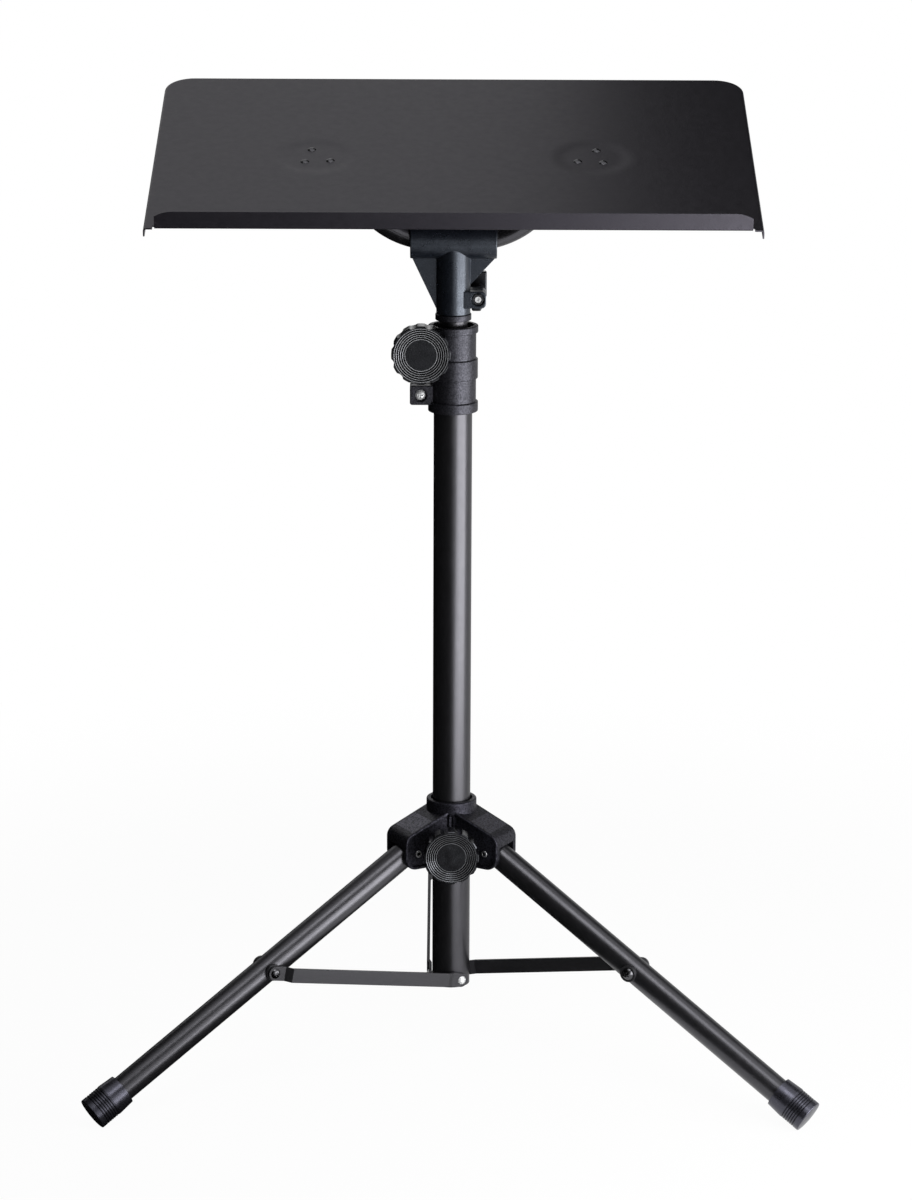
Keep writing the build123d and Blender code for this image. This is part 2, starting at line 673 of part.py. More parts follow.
clamp_slot_half = clamp_slot / 2
clamp_slot_low_z = socket_bottom_z - cut_over
clamp_slot_top_z = clamp_ear_top_z + clamp_slot_over
head -= block(0, 2 * clamp_ear_reach, -clamp_slot_half, clamp_slot_half, clamp_slot_low_z, clamp_slot_top_z)
at_clamp = Pos(clamp_bolt_x, 0, socket_bottom_z + clamp_bolt_rise)
head -= at_clamp * cross_rod(clamp_bolt_diameter + 2 * running_fit, -clamp_ear_depth, clamp_ear_depth)
clamp_well_back = -clamp_half + clamp_nut_well_depth
head -= at_clamp * cross_rod(clamp_nut_well_diameter, -clamp_ear_depth, clamp_well_back)

head_nut = Pos(0, clamp_well_back, 0) * Rot(90, 0, 0) * hex_nut(
    clamp_nut_width, clamp_nut_height, clamp_bolt_diameter + 2 * running_fit
)
head_nut = at_clamp * head_nut
bush_half_length = bow_straight - bush_end_gap
tilt_bush = rod(2 * sleeve_bore_r, -bush_half_length, bush_half_length)
tilt_bush -= rod(bow_diameter + 2 * running_fit, -sleeve_length, sleeve_length)
tilt_bush = Pos(0, 0, tilt_axis_z) * tilt_bush

# Wing screw: a plastic wing on a steel stud that closes the head's clamp
ferrule_start = clamp_half + slip_gap
boss_start = ferrule_start + wing_ferrule_length
boss_end = boss_start + wing_boss_length
wing_outline = [
    (-wing_foot_inner, -wing_down),
    (wing_foot_outer, -wing_down),
    (wing_outer, -wing_waist),
    (wing_outer, wing_up),
    (-wing_top_inner, wing_up),
    (-wing_inner, wing_shoulder),
    (-wing_inner, -wing_waist),
]
wing_blade = slab(wing_outline, boss_end - wing_thickness, boss_end)
wing_blade = fillet(wing_blade.edges().filter_by(Axis.Y), wing_corner)
wing_blade = fillet(wing_blade.faces().filter_by(Axis.Y).edges(), wing_edge)
wing_handle = wing_blade + cross_rod(wing_boss_diameter, boss_start, boss_end)
wing_handle -= cross_rod(clamp_bolt_diameter, 0, boss_end - wing_thickness / 2)
wing_handle = at_clamp * wing_handle
wing_stud = cross_rod(clamp_bolt_diameter, -clamp_half + stud_end_inset, boss_end - wing_thickness / 2)
wing_stud += cross_rod(wing_ferrule_diameter, ferrule_start, boss_start)
stud_tip = -clamp_half + stud_end_inset
wing_stud -= cross_rod(stud_center_diameter, stud_tip - cut_over, stud_tip + stud_center_depth)
wing_stud = at_clamp * wing_stud

# Desk: pressed sheet with returned side and top edges and a turned-up ledge
half_width = desk_width / 2


def desk_blank(inset, low_u):
    """Desk outline drawn in by an inset on its sides and top, straight along low_u."""
    corner = desk_corner - inset
    side_x = half_width - inset
    high_u = desk_high_u - inset
    left = Line((-side_x, low_u), (-side_x, high_u - corner))
    left_arc = RadiusArc((-side_x, high_u - corner), (-side_x + corner, high_u), corner)
    top = Line((-side_x + corner, high_u), (side_x - corner, high_u))
    right_arc = RadiusArc((side_x - corner, high_u), (side_x, high_u - corner), corner)
    right = Line((side_x, high_u - corner), (side_x, low_u))
    return make_face(left + left_arc + top + right_arc + right + Line((side_x, low_u), (-side_x, low_u)))


def not_low(edge):
    """True for the edges of the desk that are turned back."""
    return edge.center().Y > desk_low_u + cut_over


tray = Pos(0, 0, desk_rise - desk_flange) * extrude(desk_blank(0, desk_low_u), desk_flange + desk_sheet)
tray = fillet(tray.faces().sort_by(Axis.Z)[-1].edges().filter_by(not_low), desk_bend)
hollow = extrude(desk_blank(desk_sheet, desk_low_u - cut_over), desk_flange + cut_over)
hollow = fillet(hollow.faces().sort_by(Axis.Z)[-1].edges().filter_by(not_low), desk_bend - desk_sheet)
desk_panel = tray - Pos(0, 0, desk_rise - desk_flange - cut_over) * hollow

lip_half = lip_width / 2
lip_u = desk_low_u + lip_setback
lip_top = desk_rise + lip_height
notch_half = lip_half + lip_relief
lip_foot_u = lip_u + desk_bend + cut_over
notch = block(-notch_half, notch_half, desk_low_u - cut_over, lip_foot_u, 0, lip_top)
desk_panel -= notch
lip_arc_r = (lip_corner_run ** 2 + lip_corner_drop ** 2) / (2 * lip_corner_drop)
lip_edge = [
    Line((-lip_half, desk_rise), (lip_half, desk_rise)),
    Line((lip_half, desk_rise), (lip_half, lip_top - lip_corner_drop)),
    RadiusArc((lip_half, lip_top - lip_corner_drop), (lip_half - lip_corner_run, lip_top), -lip_arc_r),
    Line((lip_half - lip_corner_run, lip_top), (-lip_half + lip_corner_run, lip_top)),
    RadiusArc((-lip_half + lip_corner_run, lip_top), (-lip_half, lip_top - lip_corner_drop), -lip_arc_r),
    Line((-lip_half, lip_top - lip_corner_drop), (-lip_half, desk_rise)),
]
lip_sheet = Pos(0, lip_u + desk_sheet, 0) * extrude(Plane.XZ * make_face(lip_edge), desk_sheet)
lip_foot = block(-lip_half, lip_half, lip_u, lip_foot_u, desk_rise, desk_rise + desk_sheet)
lip = lip_sheet + lip_foot
lip_low = lip.edges().filter_by(Axis.X).sort_by_distance((0, lip_u, desk_rise))[0]
lip = fillet(lip_low, desk_bend - desk_sheet)
lip_inner = lip.edges().filter_by(Axis.X).sort_by_distance((0, lip_u + desk_sheet, desk_rise + desk_sheet))[0]
lip = fillet(lip_inner, desk_sheet)
desk_panel += lip

# Bow: steel tube bent to a smile, with flattened ends riveted under the desk
bow_r = bow_diameter / 2
bend_end_x = bow_straight + bow_bend_radius * sin(radians(bow_angle))
bend_end_n = bow_bend_radius * (1 - cos(radians(bow_angle)))
bow_line = Line((0, 0, 0), (bow_straight, 0, 0))
bow_line += ThreePointArc(
    (bow_straight, 0, 0),
    (
        bow_straight + bow_bend_radius * sin(radians(bow_angle / 2)),
        0,
        bow_bend_radius * (1 - cos(radians(bow_angle / 2))),
    ),
    (bend_end_x, 0, bend_end_n),
)
tab_n = desk_rise - bow_tab_thickness / 2
climb_n = tab_n - bow_tab_bend * (1 - cos(radians(bow_angle))) - bend_end_n
flat_length = climb_n / sin(radians(bow_angle))
flat_start = Plane(
    origin=(bend_end_x, 0, bend_end_n),
    x_dir=(0, 1, 0),
    z_dir=(cos(radians(bow_angle)), 0, sin(radians(bow_angle))),
)
flat_end = flat_start.offset(flat_length)
tab_section = RectangleRounded(bow_tab_width, bow_tab_thickness, bow_tab_edge)
bow_outer = sweep(Plane.YZ * Circle(bow_r), bow_line)
bow_inner = sweep(Plane.YZ * Circle(bow_r - bow_wall), bow_line)
bow_half = bow_outer - bow_inner
round_section = RectangleRounded(bow_diameter, bow_diameter, bow_r - running_fit)
neck_loft = loft([flat_start * round_section, flat_end * tab_section])
bend_center_n = tab_n - bow_tab_bend
bend_axis_x = bend_end_x + flat_length * cos(radians(bow_angle)) + bow_tab_bend * sin(radians(bow_angle))
tab_bend = revolve(
    Pos(bend_axis_x, 0, tab_n) * (Plane.YZ * tab_section),
    Axis((bend_axis_x, 0, bend_center_n), (0, -1, 0)),
    bow_angle,
)
tab_plate = Pos(bend_axis_x, 0, tab_n) * extrude(Plane.YZ * tab_section, bow_tab_end_x - bend_axis_x)
bow_half += neck_loft
bow_half += tab_bend
bow_half += tab_plate
desk_bow = bow_half + mirror(bow_half, Plane.YZ)

# Desk rivets: domed heads that draw the sheet into a shallow dimple, clenched under the bow's tabs
tab_under = desk_rise - bow_tab_thickness
desk_top = desk_rise + desk_sheet
rivet_seat = desk_top - dimple_depth
dimple_middle = (dimple_floor + dimple_rim) / 2
dimple_curve = ((dimple_rim - dimple_floor) ** 2 / 4 + dimple_depth ** 2 / 4) / dimple_depth
dimple_edge = [
    Line((0, desk_top + cut_over), (0, rivet_seat)),
    Line((0, rivet_seat), (dimple_floor, rivet_seat)),
    RadiusArc((dimple_floor, rivet_seat), (dimple_middle, desk_top - dimple_depth / 2), -dimple_curve),
    RadiusArc((dimple_middle, desk_top - dimple_depth / 2), (dimple_rim, desk_top), dimple_curve),
    Line((dimple_rim, desk_top), (dimple_rim, desk_top + cut_over)),
    Line((dimple_rim, desk_top + cut_over), (0, desk_top + cut_over)),
]
dimple = revolve(Plane.XZ * make_face(dimple_edge), Axis.Z)
for side in (-1, 1):
    desk_panel -= Pos(side * dimple_x, dimple_u, 0) * dimple
desk_rivet = post(desk_rivet_diameter, tab_under, rivet_seat)
desk_rivet += Pos(0, 0, rivet_seat) * dome(desk_rivet_head_diameter, desk_rivet_head_height)
desk_rivet += Pos(0, 0, tab_under) * Rot(180, 0, 0) * dome(desk_rivet_head_diameter, desk_rivet_head_height)
rivet_shank = post(desk_rivet_diameter, 0, desk_top + cut_over)
rivet_places = [(side * x, u) for x, u in zip(desk_rivet_x, desk_rivet_u) for side in (-1, 1)]
for rivet_x, rivet_u in rivet_places:
    desk_panel -= Pos(rivet_x, rivet_u, 0) * rivet_shank
    desk_bow -= Pos(rivet_x, rivet_u, 0) * rivet_shank
desk_rivets = [Pos(x, u, 0) * desk_rivet for x, u in rivet_places]

on_desk = Pos(0, 0, tilt_axis_z) * Rot(desk_tilt, 0, 0)

# All pieces by name, then moved together so that the origin is under the middle of the stand
pieces = {
    "outer_tube": [outer_tube],
    "column_plug": [column_plug],
    "strut_rivets": [Rot(0, 0, azimuth) * rivet_solid for azimuth in leg_azimuths],
    "height_collar": [collar],
    "collar_screw": [collar_screw],
    "collar_nut": [collar_nut],
    "height_nut": [height_nut],
    "height_knob": [height_knob],
    "height_bolt": [height_bolt],
    "inner_tube": [inner_tube],
    "inner_glide": [inner_glide],
    "neck_ring": [neck_ring],
    "head": [head],
    "head_nut": [head_nut],
    "tilt_bush": [tilt_bush],
    "wing_handle": [wing_handle],
    "wing_stud": [wing_stud],
    "desk_panel": [on_desk * desk_panel],
    "desk_bow": [on_desk * desk_bow],
    "desk_rivets": [on_desk * rivet for rivet in desk_rivets],
    "hub": [hub],
    "hub_insert": [hub_insert],
    "leg_pins": [Rot(0, 0, azimuth) * pin_solid for azimuth in leg_azimuths],
    "hub_knob": [hub_knob],
    "hub_screw": [hub_screw],
}
for name, azimuth in zip(leg_names, leg_azimuths):
    turn = Rot(0, 0, azimuth)
    pieces["leg_" + name] = [turn * leg_solid]
    pieces["foot_" + name] = [turn * foot_solid]
    pieces["pivot_bush_" + name] = [turn * bush_solid]
    pieces["pivot_screw_" + name] = [turn * screw_solid]
    pieces["strut_" + name] = [turn * strut_solid]
    pieces["strut_nut_" + name] = [turn * strut_nut_solid]

feet_box = Compound(children=[pieces["foot_" + name][0] for name in leg_names]).bounding_box()
to_middle = Pos(0, -(feet_box.min.Y + feet_box.max.Y) / 2, 0)
os.makedirs("parts", exist_ok=True)
for name, solids in pieces.items():
    placed = [to_middle * solid for shape in solids for solid in shape.solids()]
    node = placed[0] if len(placed) == 1 else Compound(children=placed)
    export_step(node, "parts/" + name + ".step")
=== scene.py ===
from math import cos, radians, sin

import bmesh
import bpy
from mathutils import Matrix, Vector


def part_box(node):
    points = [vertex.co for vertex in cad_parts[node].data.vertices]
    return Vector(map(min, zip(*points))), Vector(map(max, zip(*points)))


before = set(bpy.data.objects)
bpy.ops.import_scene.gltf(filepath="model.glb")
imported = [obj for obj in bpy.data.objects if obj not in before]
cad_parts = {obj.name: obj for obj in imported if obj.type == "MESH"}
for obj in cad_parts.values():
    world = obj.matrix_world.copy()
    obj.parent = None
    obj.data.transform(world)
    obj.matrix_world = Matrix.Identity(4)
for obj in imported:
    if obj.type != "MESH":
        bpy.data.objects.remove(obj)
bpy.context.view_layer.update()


# Camera: stands before the stand at a reader's distance and looks down on the desk,
# with a long lens that fills the upright frame.
camera_place = Vector((0.0, -3.2616, 1.2488))
camera_pitch = radians(14.856)
camera_pan = radians(0.057)
camera_roll = radians(0.235)
camera_lens = 117.465
camera_sensor = 36.0
camera_far = 100.0
scene = bpy.context.scene
scene.view_settings.view_transform = "Standard"
camera_data = bpy.data.cameras.new("camera")
camera_data.lens = camera_lens
camera_data.sensor_width = camera_sensor
camera_data.clip_end = camera_far
camera = bpy.data.objects.new("camera", camera_data)
turn = Matrix.Rotation(-camera_pan, 4, "Z")
turn = turn @ Matrix.Rotation(radians(90) - camera_pitch, 4, "X")
turn = turn @ Matrix.Rotation(camera_roll, 4, "Z")
camera.matrix_world = Matrix.Translation(camera_place) @ turn
scene.collection.objects.link(camera)
scene.camera = camera


# Studio: a white floor that runs on past the frame under a white room, which camera and gloss see
# at full white. Soft boxes on the right, near the floor and overhead light the stand, and black
# flags and grey walls around it show in gloss only.
floor_reach = 30.0
floor_paper_white = 0.9
floor_near_white = 0.96
floor_far_white = 1.0
floor_near = 0.45
floor_far = 1.1
room_level = 0.25
flag_black = 0.02
grey_wall_level = 0.58
flag_lift = 0.0006
upwards = (0, 0, 1)
backwards = (0, 1, 0)
down_to_front = (0.0, -0.73, -0.68)


def reckon(tree, operation, *values):
    """Math node; each value is a number or the output of another node."""
    node = tree.nodes.new("ShaderNodeMath")
    node.operation = operation
    for socket, value in zip(node.inputs, values):
        if isinstance(value, float):
            socket.default_value = value
        else:
            tree.links.new(value, socket)
    return node.outputs[0]


def ranged(tree, value, start, end, low, high, smooth=False, clamp=True):
    """Map Range node: low where the value is at start, high where it is at end."""
    node = tree.nodes.new("ShaderNodeMapRange")
    node.clamp = clamp
    if smooth:
        node.interpolation_type = "SMOOTHSTEP"
    node.inputs["From Min"].default_value = start
    node.inputs["From Max"].default_value = end
    node.inputs["To Min"].default_value = low
    node.inputs["To Max"].default_value = high
    tree.links.new(value, node.inputs["Value"])
    return node.outputs["Result"]


def seen_directly(tree):
    """Light Path value that is 1 for camera, mirror and glass rays."""
    path = tree.nodes.new("ShaderNodeLightPath")
    glossy = reckon(tree, "MAXIMUM", path.outputs["Is Camera Ray"], path.outputs["Is Glossy Ray"])
    return reckon(tree, "MAXIMUM", glossy, path.outputs["Is Transmission Ray"])


world = bpy.data.worlds.new("white_room")
scene.world = world
world.use_nodes = True
world_tree = world.node_tree
room = world_tree.nodes["Background"]
room.inputs["Color"].default_value = (1.0, 1.0, 1.0, 1.0)
room_strength = ranged(world_tree, seen_directly(world_tree), 0.0, 1.0, room_level, 1.0)
world_tree.links.new(room_strength, room.inputs["Strength"])


def bare_material(name):
    """Material with an empty tree but for its output."""
    material = bpy.data.materials.new(name)
    material.use_nodes = True
    tree = material.node_tree
    tree.nodes.remove(tree.nodes["Principled BSDF"])
    return material, tree, tree.nodes["Material Output"].inputs["Surface"]


floor_material, floor_tree, floor_surface = bare_material("white_floor")
floor_paper = floor_tree.nodes.new("ShaderNodeBsdfDiffuse")
floor_paper.inputs["Color"].default_value = (floor_paper_white, floor_paper_white, floor_paper_white, 1.0)
floor_white = floor_tree.nodes.new("ShaderNodeEmission")
floor_place = floor_tree.nodes.new("ShaderNodeTexCoord")
floor_away = floor_tree.nodes.new("ShaderNodeVectorMath")
floor_away.operation = "LENGTH"
floor_tree.links.new(floor_place.outputs["Object"], floor_away.inputs[0])
floor_fade = ranged(
    floor_tree,
    floor_away.outputs["Value"],
    floor_near,
    floor_far,
    floor_near_white,
    floor_far_white,
    smooth=True,
)
floor_share = reckon(floor_tree, "MULTIPLY", seen_directly(floor_tree), floor_fade)
floor_mix = floor_tree.nodes.new("ShaderNodeMixShader")
floor_tree.links.new(floor_share, floor_mix.inputs["Fac"])
floor_tree.links.new(floor_paper.outputs["BSDF"], floor_mix.inputs[1])
floor_tree.links.new(floor_white.outputs["Emission"], floor_mix.inputs[2])
floor_tree.links.new(floor_mix.outputs["Shader"], floor_surface)

flag_material = bpy.data.materials.new("black_flag")
flag_material.use_nodes = True
flag_shader = flag_material.node_tree.nodes["Principled BSDF"]
flag_shader.inputs["Base Color"].default_value = (flag_black, flag_black, flag_black, 1.0)
flag_shader.inputs["Roughness"].default_value = 1.0
flag_shader.inputs["Specular IOR Level"].default_value = 0.0

grey_material, grey_tree, grey_surface = bare_material("grey_wall")
grey_glow = grey_tree.nodes.new("ShaderNodeEmission")
grey_glow.inputs["Strength"].default_value = grey_wall_level
grey_tree.links.new(grey_glow.outputs["Emission"], grey_surface)


def card(name, middle, facing, width, height, material):
    """Flat stage card that faces a direction."""
    turned = Vector(facing).to_track_quat("Z", "Y").to_matrix().to_4x4()
    sheet = bmesh.new()
    bmesh.ops.create_grid(sheet, x_segments=1, y_segments=1, size=0.5)
    bmesh.ops.scale(sheet, vec=(width, height, 1.0), verts=sheet.verts)
    bmesh.ops.transform(sheet, matrix=Matrix.Translation(middle) @ turned, verts=sheet.verts)
    mesh = bpy.data.meshes.new(name)
    sheet.to_mesh(mesh)
    sheet.free()
    mesh.materials.append(material)
    piece = bpy.data.objects.new(name, mesh)
    scene.collection.objects.link(piece)
    return piece


def flag(name, middle, facing, width, height, material=flag_material):
    """Card that only gloss can see."""
    piece = card(name, middle, facing, width, height, material)
    piece.visible_camera = False
    piece.visible_diffuse = False
    piece.visible_shadow = False
    piece.visible_transmission = False


card("floor", (0, 0, 0), upwards, 2 * floor_reach, 2 * floor_reach, floor_material)
flag("left_floor_flag", (-2.96, 1.5, flag_lift), upwards, width=6.0, height=12.0)
flag("front_floor_flag", (3.2, -1.75, flag_lift), upwards, width=6.1, height=1.2)
flag("left_flag", (-1.5, -1.2, 1.7), (1, 0, 0), width=5.6, height=3.6)
flag("front_flag", (-1.325, -4.2, 1.4), backwards, width=2.75, height=3.2)
flag("front_right_flag", (0.375, -4.2, 1.9), backwards, width=0.65, height=2.2)
flag("high_front_flag", (0.0, -3.6, 3.6), (0.0, 0.75, -0.66), width=5.0, height=2.0)
flag("back_left_flag", (-1.75, 3.0, 0.6), (0, -1, 0), width=3.3, height=1.2)
flag("back_right_flag", (0.95, 0.72, 1.52), down_to_front, width=1.6, height=1.3)
flag("back_wall", (-0.5, 1.6, 2.4), down_to_front, width=4.4, height=2.5, material=grey_material)
flag("right_wall", (1.7, 2.3, 0.7), (-0.5, -0.85, 0.0), width=3.2, height=1.4, material=grey_material)
flag("right_floor", (1.75, 1.7, flag_lift), upwards, width=3.4, height=3.6, material=grey_material)


def soft_box(name, place, facing, width, height, watts):
    """Rectangular studio lamp that faces a direction."""
    data = bpy.data.lights.new(name, "AREA")
    data.shape = "RECTANGLE"
    data.size = width
    data.size_y = height
    data.energy = watts
    lamp = bpy.data.objects.new(name, data)
    turned = Vector(facing).to_track_quat("-Z", "Y").to_matrix().to_4x4()
    lamp.matrix_world = Matrix.Translation(place) @ turned
    scene.collection.objects.link(lamp)


soft_box("right_box", (0.835, -0.55, 0.28), (-0.574, 0.819, 0.0), width=1.13, height=0.56, watts=12.6)
soft_box("low_box", (0.37, -1.04, 0.02), (0.0, 0.3, 1.0), width=0.28, height=0.16, watts=1.3)
soft_box("top_box", (0.17, -1.1, 1.8), (-0.1, 0.6, -1.0), width=1.0, height=0.6, watts=8.0)


# Column: an upright steel tube with a thinner one that slides in it for the height. Both are powder
# coated satin black, with a fine orange peel and a few pale specks.
column_low, column_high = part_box("outer_tube")
column_axis = (column_low + column_high) / 2
coat_cast = (0.92, 0.91, 1.0)
coat_edge = 0.0004
edge_samples = 4
peel_strength = 0.6
peel_detail = 3.0
cloud_scale = 150.0
cloud_detail = 5.0
cloud_low, cloud_high = 0.3, 0.7
cloud_gloss = 0.03
speck_scale = 1400.0
speck_detail = 1.0
speck_shades = [(0.35, 0.8), (0.74, 1.15), (0.80, 3.5)]


def start_finish(name):
    """New material, its tree and shader, and the place on the piece that its patterns follow."""
    material = bpy.data.materials.new(name)
    material.use_nodes = True
    tree = material.node_tree
    place = tree.nodes.new("ShaderNodeTexCoord").outputs["Object"]
    return material, tree, tree.nodes["Principled BSDF"], place


def noise(tree, place, scale, detail):
    """Noise value that is fixed to the piece."""
    pattern = tree.nodes.new("ShaderNodeTexNoise")
    pattern.inputs["Scale"].default_value = scale
    pattern.inputs["Detail"].default_value = detail
    tree.links.new(place, pattern.inputs["Vector"])
    return pattern.outputs["Fac"]


def shades(tree, value, colour, stops):
    """Colour that runs through shares of one tone; each stop is a value and its share."""
    ramp = tree.nodes.new("ShaderNodeValToRGB")
    elements = ramp.color_ramp.elements
    for index, (position, share) in enumerate(stops):
        stop = elements[index] if index < 2 else elements.new(position)
        stop.position = position
        stop.color = (*[share * channel for channel in colour], 1.0)
    tree.links.new(value, ramp.inputs["Fac"])
    return ramp.outputs["Color"]


def soft_edge(tree, radius):
    """Normal that rounds the piece's edges."""
    edge = tree.nodes.new("ShaderNodeBevel")
    edge.samples = edge_samples
    edge.inputs["Radius"].default_value = radius
    return edge.outputs["Normal"]


def bumped(tree, height, strength, depth, normal):
    """Normal with a fine relief on it."""
    bump = tree.nodes.new("ShaderNodeBump")
    bump.inputs["Strength"].default_value = strength
    bump.inputs["Distance"].default_value = depth
    tree.links.new(height, bump.inputs["Height"])
    tree.links.new(normal, bump.inputs["Normal"])
    return bump.outputs["Normal"]


def coat(name, colour, roughness, peel_size, peel_depth, specular, cast):
    """Powder coat: near black, with peel, cloudy gloss and rare pale specks."""
    material, tree, shader, place = start_finish(name)
    shader.inputs["Specular IOR Level"].default_value = specular
    shader.inputs["Specular Tint"].default_value = (*cast, 1.0)
    peel = noise(tree, place, 1.0 / peel_size, peel_detail)
    relief = bumped(tree, peel, peel_strength, peel_depth, soft_edge(tree, coat_edge))
    tree.links.new(relief, shader.inputs["Normal"])
    cloud = noise(tree, place, cloud_scale, cloud_detail)
    gloss = ranged(
        tree, cloud, cloud_low, cloud_high, roughness - cloud_gloss, roughness + cloud_gloss
    )
    tree.links.new(gloss, shader.inputs["Roughness"])
    speck = noise(tree, place, speck_scale, speck_detail)
    tint = shades(tree, speck, colour, speck_shades)
    tree.links.new(tint, shader.inputs["Base Color"])
    return material


def finish_nodes(material, *names):
    """Gives CAD nodes their finish."""
    for name in names:
        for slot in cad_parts[name].material_slots:
            slot.material = material


tube_coat = coat(
    "tube_satin_black",
    colour=(0.006, 0.006, 0.0066),
    roughness=0.31,
    peel_size=0.0009,
    peel_depth=0.00003,
    specular=0.9,
    cast=coat_cast,
)
finish_nodes(tube_coat, "outer_tube", "inner_tube")


# Plain bushes: the plug in the column's foot, the glide on the inner tube and the friction bush in
# the head's sleeve, moulded in black plastic and pushed into place.
grain_strength = 0.8
grain_detail = 2.0
grain_low, grain_high = 0.35, 0.65
grain_shades = [(0.3, 0.7), (0.7, 1.3)]
flow_scale = 130.0
flow_detail = 4.0
flow_gloss = 0.05
flow_dullness = 0.06


def moulding(name, colour, roughness, grain_size, grain_depth, specular, mottling, cast, edge_radius):
    """Moulded plastic with a fine eroded grain and softened edges."""
    material, tree, shader, place = start_finish(name)
    shader.inputs["Specular Tint"].default_value = (*cast, 1.0)
    grain = noise(tree, place, 1.0 / grain_size, grain_detail)
    dull, bright = specular * (1.0 - mottling), specular * (1.0 + mottling)
    shine = ranged(tree, grain, grain_low, grain_high, dull, bright)
    tree.links.new(shine, shader.inputs["Specular IOR Level"])
    relief = bumped(tree, grain, grain_strength, grain_depth, soft_edge(tree, edge_radius))
    tree.links.new(relief, shader.inputs["Normal"])
    flow = noise(tree, place, flow_scale, flow_detail)
    gloss = ranged(
        tree, flow, cloud_low, cloud_high, roughness - flow_gloss, roughness + flow_dullness
    )
    tree.links.new(gloss, shader.inputs["Roughness"])
    tint = shades(tree, grain, colour, grain_shades)
    tree.links.new(tint, shader.inputs["Base Color"])
    return material


bush_plastic = moulding(
    "bush_plastic",
    colour=(0.012, 0.012, 0.013),
    roughness=0.45,
    grain_size=0.0006,
    grain_depth=0.00005,
    specular=0.4,
    mottling=0.2,
    cast=(0.9, 0.9, 1.0),
    edge_radius=0.0004,
)
finish_nodes(bush_plastic, "column_plug", "inner_glide", "tilt_bush")


# Hub: the nylon moulding that slides on the column and holds the legs between its walls, with a fine
# grain. A panel on the roof of each arm keeps full shine as a painted sheen, standing for the sky's
# reflection there, and the rest has its shine turned down as painted shade.
arm_azimuths = (210.0, 330.0, 90.0)
roof_height = 0.2305
roof_slope = 0.42
roof_depth = 0.001
panel_start = 0.0275
panel_end = 0.046
panel_half_width = 0.0143
# Shine shares: turned down off the roof panels as painted shade, full on them as painted sheen.
bare_shine = 0.3
roof_sheen_shine = 1.0


def scale_shine(tree, share):
    """Multiplies the finish's shine by a share."""
    shine = tree.nodes["Principled BSDF"].inputs["Specular IOR Level"]
    tree.links.new(reckon(tree, "MULTIPLY", shine.links[0].from_socket, share), shine)


hub_nylon = moulding(
    "hub_nylon",
    colour=(0.005, 0.005, 0.0064),
    roughness=0.4,
    grain_size=0.0015,
    grain_depth=0.00012,
    specular=1.05,
    mottling=0.7,
    cast=(0.8, 0.78, 1.0),
    edge_radius=0.0006,
)
hub_tree = hub_nylon.node_tree
hub_place = hub_tree.nodes.new("ShaderNodeTexCoord").outputs["Object"]
painted_roof_sheen = 0.0
for azimuth in arm_azimuths:
    arm = hub_tree.nodes.new("ShaderNodeMapping")
    arm.vector_type = "TEXTURE"
    arm.inputs["Location"].default_value = (0.0, column_axis.y, 0.0)
    arm.inputs["Rotation"].default_value = (0.0, 0.0, radians(azimuth))
    hub_tree.links.new(hub_place, arm.inputs["Vector"])
    on_arm = hub_tree.nodes.new("ShaderNodeSeparateXYZ")
    hub_tree.links.new(arm.outputs["Vector"], on_arm.inputs["Vector"])
    along, across, height = (on_arm.outputs[axis] for axis in ("X", "Y", "Z"))
    past_start = reckon(hub_tree, "GREATER_THAN", along, panel_start)
    before_end = reckon(hub_tree, "LESS_THAN", along, panel_end)
    in_length = reckon(hub_tree, "MULTIPLY", past_start, before_end)
    in_width = reckon(hub_tree, "LESS_THAN", reckon(hub_tree, "ABSOLUTE", across), panel_half_width)
    fall = reckon(hub_tree, "MULTIPLY", along, roof_slope)
    level = reckon(hub_tree, "ADD", height, fall)
    on_roof = reckon(hub_tree, "GREATER_THAN", level, roof_height - roof_depth)
    in_panel = reckon(hub_tree, "MULTIPLY", in_length, reckon(hub_tree, "MULTIPLY", in_width, on_roof))
    painted_roof_sheen = reckon(hub_tree, "MAXIMUM", painted_roof_sheen, in_panel)
# Painted sheen on the roof panels, and painted shade where the shine is turned down elsewhere.
scale_shine(hub_tree, ranged(hub_tree, painted_roof_sheen, 0.0, 1.0, bare_shine, roof_sheen_shine))
finish_nodes(hub_nylon, "hub")


# Legs: three steel tubes in the column's coat. Each turns between the hub's walls on a hollow steel
# pin, oiled and rolled over at its ends.
turning_scale = 900.0
turning_detail = 4.0
turning_gloss = 0.08
turning_dullness = 0.12
turning_shades = [(0.3, 0.82), (0.7, 1.0)]
metal_edge = 0.0003


def plate(name, colour, roughness, metal):
    """Bare or plated steel and brass with a fine turned grain."""
    material, tree, shader, place = start_finish(name)
    shader.inputs["Metallic"].default_value = metal
    turning = noise(tree, place, turning_scale, turning_detail)
    gloss = ranged(tree, turning, 0.0, 1.0, roughness - turning_gloss, roughness + turning_dullness)
    tree.links.new(gloss, shader.inputs["Roughness"])
    tint = shades(tree, turning, colour, turning_shades)
    tree.links.new(tint, shader.inputs["Base Color"])
    tree.links.new(soft_edge(tree, metal_edge), shader.inputs["Normal"])
    return material


finish_nodes(tube_coat, "leg_left", "leg_right", "leg_back")
pin_steel = plate("oiled_steel", colour=(0.4, 0.4, 0.41), roughness=0.3, metal=1.0)
finish_nodes(pin_steel, "leg_pins")


# Struts: flat steel bars in a flatter dark grey coat that hold the legs open. Bright zinc plated
# rivets fix them to the column's foot.
strut_coat = coat(
    "strut_dark_grey",
    colour=(0.011, 0.011, 0.012),
    roughness=0.42,
    peel_size=0.0007,
    peel_depth=0.00004,
    specular=0.6,
    cast=(0.93, 0.92, 1.0),
)
finish_nodes(strut_coat, "strut_left", "strut_right", "strut_back")
zinc = plate("bright_zinc", colour=(0.86, 0.87, 0.88), roughness=0.42, metal=0.45)
finish_nodes(zinc, "strut_rivets")


